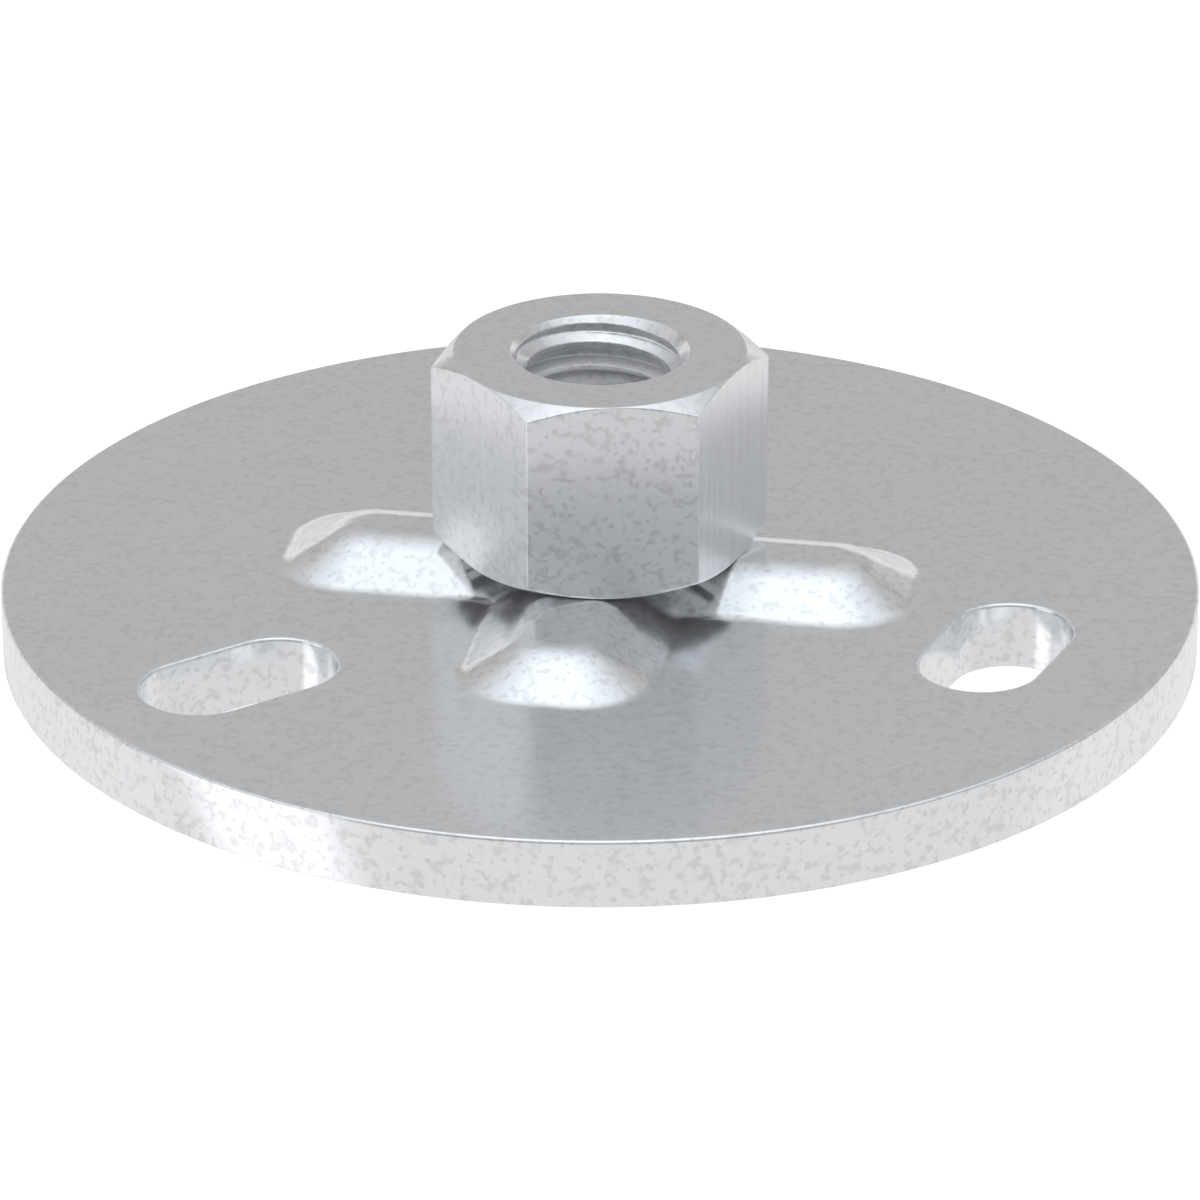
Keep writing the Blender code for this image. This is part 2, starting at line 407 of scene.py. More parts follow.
@dataclass(frozen=True)
class PressedPlate:
    """The disc: one steel sheet with a rounded rim, three screw slots and the raised cross."""

    radius: float
    crown_height: float
    thickness: float = 4.0 * MM
    upper_edge: EdgeRound = EdgeRound(0.2 * MM)
    lower_edge: EdgeRound = EdgeRound(0.05 * MM, segments=4)
    rim_segments: int = 512
    slots: tuple[ScrewSlot, ...] = (
        ScrewSlot(math.radians(-135.0), SlotLie.ALONG),
        ScrewSlot(math.radians(-15.0), SlotLie.ACROSS),
        ScrewSlot(math.radians(105.0), SlotLie.ACROSS),
    )

    def build(self) -> bpy.types.Object:
        """Build the disc's whole skin.

        A punched wall's section runs up from the lower edge's rounding to the upper one's. The rim's
        rings are circles of the disc's radius less that section's inset, and a slot's are its outline
        grown by the inset.

        Returns:
            The disc, closed by its flat faces: both sides of the sheet, the crown and the recess's top.
        """
        inset_low, drop_low = self.lower_edge.section()
        inset_high, drop_high = self.upper_edge.section()
        inset = np.concatenate([inset_low, inset_high[::-1]])
        height = np.concatenate([drop_low, self.thickness - drop_high[::-1]])
        still = np.zeros_like(inset)
        rim = circle_arc((still, still), self.radius - inset, 0.0, FULL_TURN, self.rim_segments)[:, :-1]
        cross = RaisedCross(rise=self.crown_height - self.thickness)
        skin = Skin("pressed_plate")
        skin.add_tube(lifted(rim, height))
        for slot in self.slots:
            skin.add_tube(lifted(slot.outline(inset), height), inward=True)
        skin.add_tube(cross.upper_skin(self.thickness))
        skin.add_tube(cross.lower_skin(self.thickness), inward=True)
        return skin.finish([self.thickness, 0.0, self.crown_height, cross.rise])


@dataclass(frozen=True)
class IsoThread:
    """A right-hand internal thread with 60 degree flanks."""

    root_diameter: float = 9.74 * MM
    pitch: float = 1.5 * MM
    depth: float = 0.682 * MM
    root_flat: float = 0.45 * MM
    flank_slope: float = math.tan(math.radians(60.0))
    phase: float = 0.27

    def radius(self, angle: np.ndarray, height: np.ndarray) -> np.ndarray:
        """The bore's radius at each angle and height.

        The axial distance x from the nearest groove's middle repeats with the pitch and shifts by one
        pitch a turn. The radius is the root's within its flat, falls by the tangent of 60
        degrees times x beyond it, and stops at the crest, one thread depth inside.

        Args:
            angle: Angles about the thread's axis.
            height: Heights along it.

        Returns:
            The radii, in an array of the two inputs' common shape.
        """
        turns = height / self.pitch - angle / FULL_TURN - self.phase
        from_groove = np.abs(turns - np.round(turns)) * self.pitch
        beyond_root = from_groove - self.root_flat / 2.0
        depth = np.clip(beyond_root * self.flank_slope, 0.0, self.depth)
        return self.root_diameter / 2.0 - depth


@dataclass(frozen=True)
class CornerChamfer:
    """The cone that cuts a nut's corners at one end, starting a little inside the flats."""

    inset: float
    edge_radius: float
    angle: float = math.radians(30.0)
    rounded_share: float = 0.8

    def fall(self, reach: np.ndarray, apothem: float) -> np.ndarray:
        """How far the cone has fallen at a reach from the axis: the way beyond its circle times its slope."""
        return (reach - apothem + self.inset) * math.tan(self.angle)

    def rounding(self, reach: np.ndarray, apothem: float) -> np.ndarray:
        """The radius of both of the cone's edges, less where the cone is too narrow for them.

        The two roundings use up r (tan(a / 2) + tan((90 degrees - a) / 2)) of the cone's width, and may
        take no more than their share of it.

        Args:
            reach: How far each point of the nut's outline is from the axis.
            apothem: The flats' distance from the axis.

        Returns:
            A radius for each point.
        """
        width = (reach - apothem + self.inset) / math.cos(self.angle)
        used = math.tan(self.angle / 2.0) + math.tan((QUARTER_TURN - self.angle) / 2.0)
        return np.minimum(self.edge_radius, self.rounded_share * width / used)


@dataclass(frozen=True)
class HexagonNut:
    """The hexagon nut: chamfered and countersunk at both ends, and threaded right through."""

    underside: float
    end_face: float
    across_flats: float = 17.0 * MM
    bearing: float = math.radians(-135.0)
    sides: int = 6
    corner_radius: float = 0.12 * MM
    free_chamfer: CornerChamfer = CornerChamfer(inset=0.03 * MM, edge_radius=0.12 * MM)
    welded_chamfer: CornerChamfer = CornerChamfer(inset=0.1 * MM, edge_radius=0.25 * MM)
    countersink_radius: float = 5.2 * MM
    mouth_radius: float = 0.08 * MM
    land: float = 0.06 * MM
    flat_segments: int = 40
    corner_segments: int = 6
    edge_segments: int = 5
    bore_columns: int = 192
    bore_rows: int = 300
    thread: IsoThread = IsoThread()

    @property
    def apothem(self) -> float:
        """The flats' distance from the axis."""
        return self.across_flats / 2.0

    def _plan(self) -> np.ndarray:
        """The hexagon's plan outline with its corners rounded.

        Each side is a straight run at the apothem, then an arc of a sixth of a turn about a centre one
        corner radius inside.

        Returns:
            An array of points by two, running anticlockwise.
        """
        half_run = (self.apothem - self.corner_radius) * math.tan(math.pi / self.sides)
        along = half_run * np.linspace(-1.0, 1.0, self.flat_segments + 1)
        flat = np.stack([np.full_like(along, self.apothem), along], axis=-1)
        centre = (np.array([self.apothem - self.corner_radius]), np.array([half_run]))
        sweep = FULL_TURN / self.sides
        corner = circle_arc(centre, np.array([self.corner_radius]), 0.0, sweep, self.corner_segments)[0]
        side = np.concatenate([flat, corner[1:-1]])
        turns = [turned(side, self.bearing + sweep * index) for index in range(self.sides)]
        return np.concatenate(turns)

    def _outer_skin(self) -> np.ndarray:
        """The flats and both chamfers, as rings from the underside up.

        In the upright section through a plan point, each end's chamfer starts on its own circle and falls
        towards the corner, so that it scallops the flats.

        Returns:
            An array of rings by points by three.
        """
        plan = self._plan()
        reach = np.linalg.norm(plan, axis=-1)
        low = np.full_like(reach, self.underside)
        high = np.full_like(reach, self.end_face)
        low_circle = np.full_like(reach, self.apothem - self.welded_chamfer.inset)
        high_circle = np.full_like(reach, self.apothem - self.free_chamfer.inset)
        low_edge = low + self.welded_chamfer.fall(reach, self.apothem)
        high_edge = high - self.free_chamfer.fall(reach, self.apothem)
        across = [low_circle - self.land, low_circle, reach, reach, high_circle, high_circle - self.land]
        upright = [low, low, low_edge, high_edge, high, high]
        corners = np.stack([np.stack(across, axis=1), np.stack(upright, axis=1)], axis=-1)
        low_radius = self.welded_chamfer.rounding(reach, self.apothem)
        high_radius = self.free_chamfer.rounding(reach, self.apothem)
        radii = np.stack([low_radius, low_radius, high_radius, high_radius], axis=1)
        rings = rounded_section(corners, radii, self.edge_segments).transpose(1, 0, 2)
        heading = plan / reach[:, None]
        return np.concatenate([rings[..., :1] * heading, rings[..., 1:]], axis=-1)

    def _mouth(self, end: NutEnd) -> np.ndarray:
        """The rounded edge between an end face and its countersink, from the face inwards.

        The section comes in across the face, turns by 45 degrees on an arc and leaves down the cone.

        Args:
            end: Which end of the nut.

        Returns:
            Radii and heights, as points by two.
        """
        face = self.end_face if end is NutEnd.FREE else self.underside
        cone = 2.0 * self.mouth_radius
        corners = np.array(
            [
                [self.countersink_radius + self.mouth_radius + self.land, face],
                [self.countersink_radius, face],
                [self.countersink_radius - cone, face - end.value * cone],
            ]
        )
        return rounded_section(corners[None], np.array([[self.mouth_radius]]), self.edge_segments)[0]

    def _bore_skin(self) -> np.ndarray:
        """The countersinks and the thread between them, as rings from the underside up.

        The radius at a height is the larger of the thread's and the two countersinks', each of which is
        its mouth's radius less the depth below its end face.

        Returns:
            An array of rings by points by three.
        """
        low, high = self._mouth(NutEnd.WELDED), self._mouth(NutEnd.FREE)
        height = np.linspace(low[-1, 1], high[-1, 1], self.bore_rows)[1:-1]
        angle = FULL_TURN * np.arange(self.bore_columns) / self.bore_columns
        thread = self.thread.radius(angle[None, :], height[:, None])
        depth = np.minimum(self.end_face - height, height - self.underside)
        radius = np.maximum(thread, (self.countersink_radius - depth)[:, None])
        mouths = [np.repeat(mouth[:, :1], self.bore_columns, axis=1) for mouth in (low, high[::-1])]
        radius = np.concatenate([mouths[0], radius, mouths[1]])
        height = np.concatenate([low[:, 1], height, high[::-1, 1]])
        return lifted(np.stack([radius * np.cos(angle), radius * np.sin(angle)], axis=-1), height)

    def build(self) -> bpy.types.Object:
        """Build the nut's whole skin.

        Returns:
            The nut, closed by its two flat end faces.
        """
        skin = Skin("hexagon_nut")
        skin.add_tube(self._outer_skin())
        skin.add_tube(self._bore_skin(), inward=True)
        return skin.finish([self.end_face, self.underside])


class NodeKit:
    """Short calls that add and link shader nodes in one tree."""

    def __init__(self, tree: bpy.types.NodeTree) -> None:
        """Work on a node tree."""
        self.tree = tree

    def add(
        self, kind: str, inputs: dict[str | int, Feed] | None = None, **settings: object
    ) -> bpy.types.Node:
        """Add a node.

        Args:
            kind: The node's type name, less the words ShaderNode that start it.
            inputs: A value or an output socket for each named or numbered input.
            settings: Properties to set on the node.

        Returns:
            The new node.
        """
        node = self.tree.nodes.new("ShaderNode" + kind)
        for name, value in settings.items():
            setattr(node, name, value)
        for name, value in (inputs or {}).items():
            self.feed(node, name, value)
        return node

    def feed(self, node: bpy.types.Node, name: str | int, value: Feed) -> None:
        """Set one input of a node, or link it.

        Args:
            node: The node.
            name: The input's name or number.
            value: The value to set, or the output socket to link.
        """
        if isinstance(value, bpy.types.NodeSocket):
            self.tree.links.new(value, node.inputs[name])
        else:
            node.inputs[name].default_value = value

    def group(self, tree: bpy.types.NodeTree, inputs: dict[str | int, Feed]) -> bpy.types.Node:
        """Add a node that holds a shared group, with its inputs fed."""
        return self.add("Group", inputs, node_tree=tree)

    def math(self, operation: str, *values: Feed) -> bpy.types.NodeSocket:
        """The result of a Math node, with its operation's name and its values in the node's order."""
        return self.add("Math", dict(enumerate(values)), operation=operation).outputs["Value"]

    def swing(self, value: Feed, depth: Feed) -> bpy.types.NodeSocket:
        """A value of 0 to 1 made to swing about zero, times a depth."""
        return self.math("MULTIPLY", self.math("SUBTRACT", value, 0.5), depth)

    def smooth_step(self, value: Feed, low: float, high: float) -> bpy.types.NodeSocket:
        """A mask that climbs smoothly from 0 at low to 1 at high.

        Args:
            value: The number or socket to judge.
            low: Where the mask starts to climb, or ends if it is above high.
            high: Where the mask reaches 1.

        Returns:
            The mask's socket.
        """
        inputs = {"Value": value, "From Min": low, "From Max": high}
        return self.add("MapRange", inputs, interpolation_type="SMOOTHSTEP").outputs["Result"]

    def noise(self, vector: Feed, scale: float, detail: float) -> bpy.types.NodeSocket:
        """A noise value of about 0 to 1.

        Args:
            vector: The coordinates' socket.
            scale: Features a metre.
            detail: The number of finer octaves.

        Returns:
            The noise's socket.
        """
        inputs = {"Vector": vector, "Scale": scale, "Detail": detail, "Roughness": 0.5}
        return self.add("TexNoise", inputs).outputs["Fac"]


def plain_material(
    name: str, colour: tuple[float, float, float, float]
) -> tuple[bpy.types.Material, NodeKit, bpy.types.Node]:
    """A material of one colour without any gloss.

    Args:
        name: The material's name.
        colour: Its base colour, with alpha.

    Returns:
        The material, a kit that works on its nodes and its shader.
    """
    material = bpy.data.materials.new(name)
    material.use_nodes = True
    kit = NodeKit(material.node_tree)
    shader = material.node_tree.nodes["Principled BSDF"]
    kit.feed(shader, "Base Color", colour)
    kit.feed(shader, "Specular IOR Level", 0.0)
    return material, kit, shader


@dataclass(frozen=True)
class EffectGroup:
    """A shared effect, as a shader node group that reads a vector and puts out masks."""

    name: str
    outputs: tuple[str, ...]

    def start(self) -> tuple[NodeKit, bpy.types.Node, bpy.types.Node]:
        """Start the group with its sockets: the vector, its size factor and the float outputs.

        Returns:
            A kit that works on the group, the group's scaled vector node and its output node.
        """
        group = bpy.data.node_groups.new(self.name, "ShaderNodeTree")
        group.interface.new_socket("Vector", in_out="INPUT", socket_type="NodeSocketVector")
        size = group.interface.new_socket("Size", in_out="INPUT", socket_type="NodeSocketFloat")
        size.default_value = 1.0
        for label in self.outputs:
            group.interface.new_socket(label, in_out="OUTPUT", socket_type="NodeSocketFloat")
        kit = NodeKit(group)
        given = group.nodes.new("NodeGroupInput")
        inputs = {0: given.outputs["Vector"], "Scale": given.outputs["Size"]}
        scaled = kit.add("VectorMath", inputs, operation="SCALE")
        return kit, scaled, group.nodes.new("NodeGroupOutput")


@dataclass(frozen=True)
class ZincFleck(EffectGroup):
    """The plating's grey fleck: short curled worms and small dots, with faint clouds and a grain.

    Each noise is given as its features a metre and its number of finer octaves, and each mask as the
    values between which it climbs.
    """

    name: str = "zinc_fleck"
    outputs: tuple[str, ...] = ("Fleck", "Cloud", "Grain")
    contour_noise: tuple[float, float] = (760.0, 1.5)
    contour_middle: float = 0.5
    worm_band: tuple[float, float] = (0.12, 0.0)
    gate_noise: tuple[float, float] = (1150.0, 1.0)
    gate_band: tuple[float, float] = (0.46, 0.64)
    dot_noise: tuple[float, float] = (2000.0, 0.0)
    dot_band: tuple[float, float] = (0.6, 0.78)
    cloud_noise: tuple[float, float] = (90.0, 2.0)
    grain_noise: tuple[float, float] = (5200.0, 1.0)

    def build(self) -> bpy.types.NodeTree:
        """Build the group.

        A worm is a narrow band round the middle value of a smooth noise, kept only where a finer noise is
        high, so that it breaks into short curls. A dot is a peak of a still finer noise. A slow noise
        gives the plating's faint clouds.

        Returns:
            The group, with the inputs Vector and Size and the outputs Fleck, Cloud and Grain.
        """
        kit, scaled, result = self.start()
        place = scaled.outputs["Vector"]
        contour = kit.noise(place, *self.contour_noise)
        from_middle = kit.math("ABSOLUTE", kit.math("SUBTRACT", contour, self.contour_middle))
        worm = kit.smooth_step(from_middle, *self.worm_band)
        gate = kit.smooth_step(kit.noise(place, *self.gate_noise), *self.gate_band)
        dot = kit.smooth_step(kit.noise(place, *self.dot_noise), *self.dot_band)
        kit.feed(result, "Fleck", kit.math("MAXIMUM", kit.math("MULTIPLY", worm, gate), dot))
        kit.feed(result, "Cloud", kit.noise(place, *self.cloud_noise))
        kit.feed(result, "Grain", kit.noise(place, *self.grain_noise))
        return kit.tree


@dataclass(frozen=True)
class ToolMarks(EffectGroup):
    """Fine streaks along Z, as a drawn hexagon bar has, and fine rings about Z, as a cut bore has."""

    name: str = "tool_mark"
    outputs: tuple[str, ...] = ("Streak", "Ring")
    noise: tuple[float, float] = (2600.0, 2.0)
    streak_squeeze: tuple[float, float, float] = (1.0, 1.0, 0.045)
    ring_squeeze: tuple[float, float, float] = (0.02, 0.02, 1.0)

    def build(self) -> bpy.types.NodeTree:
        """Build the group.

        The noise's coordinates are squeezed along Z for the streaks and across it for the rings, so that
        the features are long and narrow.

        Returns:
            The group, with the inputs Vector and Size and the outputs Streak and Ring.
        """
        kit, scaled, result = self.start()
        for label, squeeze in zip(self.outputs, (self.streak_squeeze, self.ring_squeeze)):
            placed = {"Vector": scaled.outputs["Vector"], "Scale": squeeze}
            stretched = kit.add("Mapping", placed).outputs["Vector"]
            kit.feed(result, label, kit.noise(stretched, *self.noise))
        return kit.tree


@dataclass
class Surface:
    """What a material's nodes read at a point: its place, the way it faces, and effects and masks by name."""

    place: bpy.types.NodeSocket
    facing_x: bpy.types.NodeSocket
    facing_z: bpy.types.NodeSocket
    effects: dict[str, bpy.types.NodeSocket]
    masks: dict[str, bpy.types.NodeSocket] = field(default_factory=dict)


@dataclass(frozen=True)
class ZincFinish:
    """Zinc-plated steel, satin, with a grey fleck and a fine grain; the fleck's colour fades on level faces,
    which is painted light.
    """

    name: str
    colour: tuple[float, float, float]
    roughness: float
    fleck_depth: float
    # Painted light: on faces that lie flat the fleck is painted fainter, as the light shows it there.
    level_fleck_depth: float
    level_band: tuple[float, float]
    metallic: float = 0.9
    fleck_size: float = 1.2
    cloud_depth: float = 0.05
    grain_depth: float = 0.25
    bump_strength: float = 0.15
    bump_height: float = 0.01 * MM

    def material(self, groups: dict[str, bpy.types.NodeTree]) -> bpy.types.Material:
        """Make the material.

        The colour is multiplied by the finish's shade, and the grain lifts the surface by a trace.

        Args:
            groups: The shared effect groups by name.

        Returns:
            The material.
        """
        material = bpy.data.materials.new(self.name)
        material.use_nodes = True
        kit = NodeKit(material.node_tree)
        shader = material.node_tree.nodes["Principled BSDF"]
        surface = self._surface(kit, groups)
        tint_inputs = {0: self.colour, "Scale": self._shade(kit, surface)}
        tint = kit.add("VectorMath", tint_inputs, operation="SCALE")
        relief = self._relief(kit, surface)
        bump_inputs = {"Strength": self.bump_strength, "Distance": self.bump_height, "Height": relief}
        bump = kit.add("Bump", bump_inputs)
        kit.feed(shader, "Base Color", tint.outputs["Vector"])
        kit.feed(shader, "Metallic", self._metallic(kit, surface))
        kit.feed(shader, "Roughness", self._roughness(kit, surface))
        kit.feed(shader, "Normal", bump.outputs["Normal"])
        return material

    def _surface(self, kit: NodeKit, groups: dict[str, bpy.types.NodeTree]) -> Surface:
        """Add the nodes that read the surface, and the fleck at its place.

        Args:
            kit: The material's kit.
            groups: The shared effect groups by name.

        Returns:
            The sockets to read.
        """
        coordinates = kit.add("TexCoord")
        place = coordinates.outputs["Object"]
        facing = kit.add("SeparateXYZ", {"Vector": coordinates.outputs["Normal"]})
        fleck = kit.group(groups["fleck"], {"Vector": place, "Size": self.fleck_size})
        return Surface(place, facing.outputs["X"], facing.outputs["Z"], dict(fleck.outputs.items()))

    def _fleck_strength(self, kit: NodeKit, surface: Surface) -> bpy.types.NodeSocket:
        """How deep the fleck is: its own depth, fading to the level faces' as the surface lies flat, as
        painted light.
        """
        # Painted light: the fleck's painted depth follows the way the face points.
        level = kit.smooth_step(surface.facing_z, *self.level_band)
        return kit.math("MULTIPLY_ADD", level, self.level_fleck_depth - self.fleck_depth, self.fleck_depth)

    def _shade(self, kit: NodeKit, surface: Surface) -> bpy.types.NodeSocket:
        """What the colour is multiplied by: 1 less the fleck, plus or minus the faint clouds.

        Args:
            kit: The material's kit.
            surface: What the nodes read.

        Returns:
            The shade's socket.
        """
        dark = kit.math("MULTIPLY", surface.effects["Fleck"], self._fleck_strength(kit, surface))
        cloud = kit.swing(surface.effects["Cloud"], self.cloud_depth)
        return kit.math("ADD", kit.math("SUBTRACT", 1.0, dark), cloud)

    def _relief(self, kit: NodeKit, surface: Surface) -> bpy.types.NodeSocket:
        """The surface's height, as a share of the bump's: the grain."""
        return kit.math("MULTIPLY", surface.effects["Grain"], self.grain_depth)

    def _metallic(self, kit: NodeKit, surface: Surface) -> Feed:
        """How metallic the surface is: the same all over."""
        return self.metallic

    def _roughness(self, kit: NodeKit, surface: Surface) -> Feed:
        """How rough the surface is: the same all over."""
        return self.roughness


@dataclass(frozen=True)
class DrawnNutFinish(ZincFinish):
    """The same plating on drawn hexagon bar with a cut bore.

    The flats that face along X, either way, have less fleck, and fine streaks in their colour: the streaks
    are the bar's drawing marks, and the fading and the sides they keep to are painted light. The bore has
    cutting rings, and below its first turn a duller, less metallic surface, so that its colour paints light
    into the dark bore.
    """

    # Painted light: on the sides that face along X the fleck is painted fainter and the streaks shade the
    # colour.
    painted_side_band: tuple[float, float] = (0.5, 0.97)
    painted_side_fleck_fade: float = 0.8
    streak_shade: float = 0.16
    streak_depth: float = 0.03
    ring_shade: float = 1.3
    bore_edge: tuple[float, float] = (5.05 * MM, 4.9 * MM)
    first_turn: tuple[float, float] = (15.9 * MM, 15.2 * MM)
    bore_dulling: float = 0.08
    # Painted light: the bore below its first turn is made less metallic, so that its colour lightens the dark
    # bore.
    bore_painted_light: float = 0.75
    upright_band: tuple[float, float] = (0.5, 0.1)
    upright_dulling: float = 0.06

    def _surface(self, kit: NodeKit, groups: dict[str, bpy.types.NodeTree]) -> Surface:
        """Add the nodes that read the surface, the tool marks and the masks.

        The sides that face along X, either way, carry painted light. The bore's points lie near the thread's
        axis, which is Z, and below its first turn.

        Args:
            kit: The material's kit.
            groups: The shared effect groups by name.

        Returns:
            The sockets to read, with the masks Outside, Bore and Upright and the mask of the painted-light
            sides.
        """
        surface = super()._surface(kit, groups)
        marks = kit.group(groups["marks"], {"Vector": surface.place})
        surface.effects.update(marks.outputs.items())
        flat = kit.add("VectorMath", {0: surface.place, 1: (1.0, 1.0, 0.0)}, operation="MULTIPLY")
        reach = kit.add("VectorMath", {0: flat.outputs["Vector"]}, operation="LENGTH")
        height = kit.add("SeparateXYZ", {"Vector": surface.place}).outputs["Z"]
        inside = kit.smooth_step(reach.outputs["Value"], *self.bore_edge)
        below = kit.smooth_step(height, *self.first_turn)
        # Painted light: the mask of the sides that face along X, which get less fleck and streaked colour.
        surface.masks["Clean"] = kit.smooth_step(kit.math("ABSOLUTE", surface.facing_x), *self.painted_side_band)
        surface.masks["Outside"] = kit.math("SUBTRACT", 1.0, inside)
        surface.masks["Bore"] = kit.math("MULTIPLY", inside, below)
        surface.masks["Upright"] = kit.smooth_step(surface.facing_z, *self.upright_band)
        return surface

    def _fleck_strength(self, kit: NodeKit, surface: Surface) -> bpy.types.NodeSocket:
        """How deep the fleck is, with less of it painted on the sides that face along X, as painted light."""
        left = kit.math("SUBTRACT", 1.0, kit.math("MULTIPLY", surface.masks["Clean"], self.painted_side_fleck_fade))
        return kit.math("MULTIPLY", super()._fleck_strength(kit, surface), left)

    def _shade(self, kit: NodeKit, surface: Surface) -> bpy.types.NodeSocket:
        """What the colour is multiplied by, with the bore's rings, and the drawing marks' streaks painted on
        the sides that face along X as painted light.

        Args:
            kit: The material's kit.
            surface: What the nodes read.

        Returns:
            The shade's socket.
        """
        ring = kit.swing(surface.effects["Ring"], surface.masks["Bore"])
        # Painted light: the drawing marks' streaks shade the colour only on the outer sides that face along
        # X.
        drawn = kit.math("MULTIPLY", surface.masks["Clean"], surface.masks["Outside"])
        streak = kit.swing(surface.effects["Streak"], drawn)
        shade = kit.math("MULTIPLY_ADD", ring, self.ring_shade, super()._shade(kit, surface))
        return kit.math("MULTIPLY_ADD", streak, self.streak_shade, shade)

    def _relief(self, kit: NodeKit, surface: Surface) -> bpy.types.NodeSocket:
        """The surface's height, with the streaks."""
        streak = kit.swing(surface.effects["Streak"], self.streak_depth)
        return kit.math("ADD", super()._relief(kit, surface), streak)

    def _metallic(self, kit: NodeKit, surface: Surface) -> bpy.types.NodeSocket:
        """How metallic the surface is, less in the bore below its first turn, so that its colour paints light
        there.
        """
        # Painted light: less metal in the bore, so that its colour lightens it.
        bore_brightening = kit.math("MULTIPLY", surface.masks["Bore"], self.bore_painted_light)
        return kit.math("SUBTRACT", self.metallic, bore_brightening)

    def _roughness(self, kit: NodeKit, surface: Surface) -> bpy.types.NodeSocket:
        """How rough the surface is, with the streaks, and duller in the bore and on upright faces.

        Args:
            kit: The material's kit.
            surface: What the nodes read.

        Returns:
            The roughness's socket.
        """
        streak = kit.swing(surface.effects["Streak"], self.streak_depth)
        rough = kit.math("ADD", streak, self.roughness)
        rough = kit.math("MULTIPLY_ADD", surface.masks["Bore"], self.bore_dulling, rough)
        return kit.math("MULTIPLY_ADD", surface.masks["Upright"], self.upright_dulling, rough)


@dataclass(frozen=True)
class Panel:
    """A soft-edged card or softbox on the light tent's wall, with angles in degrees."""

    name: str
    azimuth: tuple[float, float]
    elevation: tuple[float, float]
    glow: tuple[float, float]
    fade: float = 8.0
    tint: tuple[float, float, float] = (1.0, 1.0, 1.0)

    def paint(self, tent: np.ndarray, azimuth: np.ndarray, elevation: np.ndarray) -> np.ndarray:
        """Lay the panel over the tent's glow.

        The panel's own glow runs evenly from its lower to its upper value, times its tint. Its mask is
        the smooth step t t (3 - 2 t) of the distance inside its nearest edge over the fade, plus one half.

        Args:
            tent: The glow so far, with red, green and blue last.
            azimuth: Each point's azimuth.
            elevation: Each point's elevation.

        Returns:
            The glow with the panel laid over it.
        """
        half_width = (self.azimuth[1] - self.azimuth[0]) / 2.0
        middle = self.azimuth[0] + half_width
        aside = np.abs((azimuth - middle + 180.0) % 360.0 - 180.0)
        inside_side = half_width - aside
        inside_level = np.minimum(elevation - self.elevation[0], self.elevation[1] - elevation)
        masks = [np.clip(inside / self.fade + 0.5, 0.0, 1.0) for inside in (inside_side, inside_level)]
        smooth = [mask * mask * (3.0 - 2.0 * mask) for mask in masks]
        own = np.interp(elevation, self.elevation, self.glow)[..., None] * np.array(self.tint)
        return tent + (smooth[0] * smooth[1])[..., None] * (own - tent)


SKY_TINT = (0.92, 0.97, 1.0)

TENT_PANELS = (
    Panel("ground behind", (10.0, 190.0), (-100.0, 17.0), (0.87, 0.87), 12.0),
    Panel("low sky all round", (-180.0, 180.0), (17.0, 45.0), (0.385, 0.62), 5.0),
    Panel("high sky all round", (-180.0, 180.0), (45.0, 100.0), (0.71, 1.65), 6.0, SKY_TINT),
    Panel("high sky in front", (-165.0, 5.0), (52.0, 100.0), (0.95, 1.75), 8.0, SKY_TINT),
    Panel("low sky in front", (-130.0, 5.0), (14.0, 42.0), (0.40, 0.48)),
    Panel("low sky on the right", (5.0, 62.0), (14.0, 42.0), (0.43, 0.52)),
    Panel("low sky on the left", (152.0, 190.0), (14.0, 42.0), (0.635, 0.67)),
    Panel("dark card in front", (-125.0, -35.0), (-8.0, 12.0), (0.33, 0.33)),
    Panel("grey card behind", (60.0, 150.0), (-20.0, 4.0), (0.72, 0.72)),
    Panel("softbox on the left", (-162.0, -130.0), (-40.0, 35.0), (1.25, 1.25), 5.0),
    Panel("softbox's upper half", (-167.0, -130.0), (10.0, 35.0), (1.25, 1.25), 5.0),
)


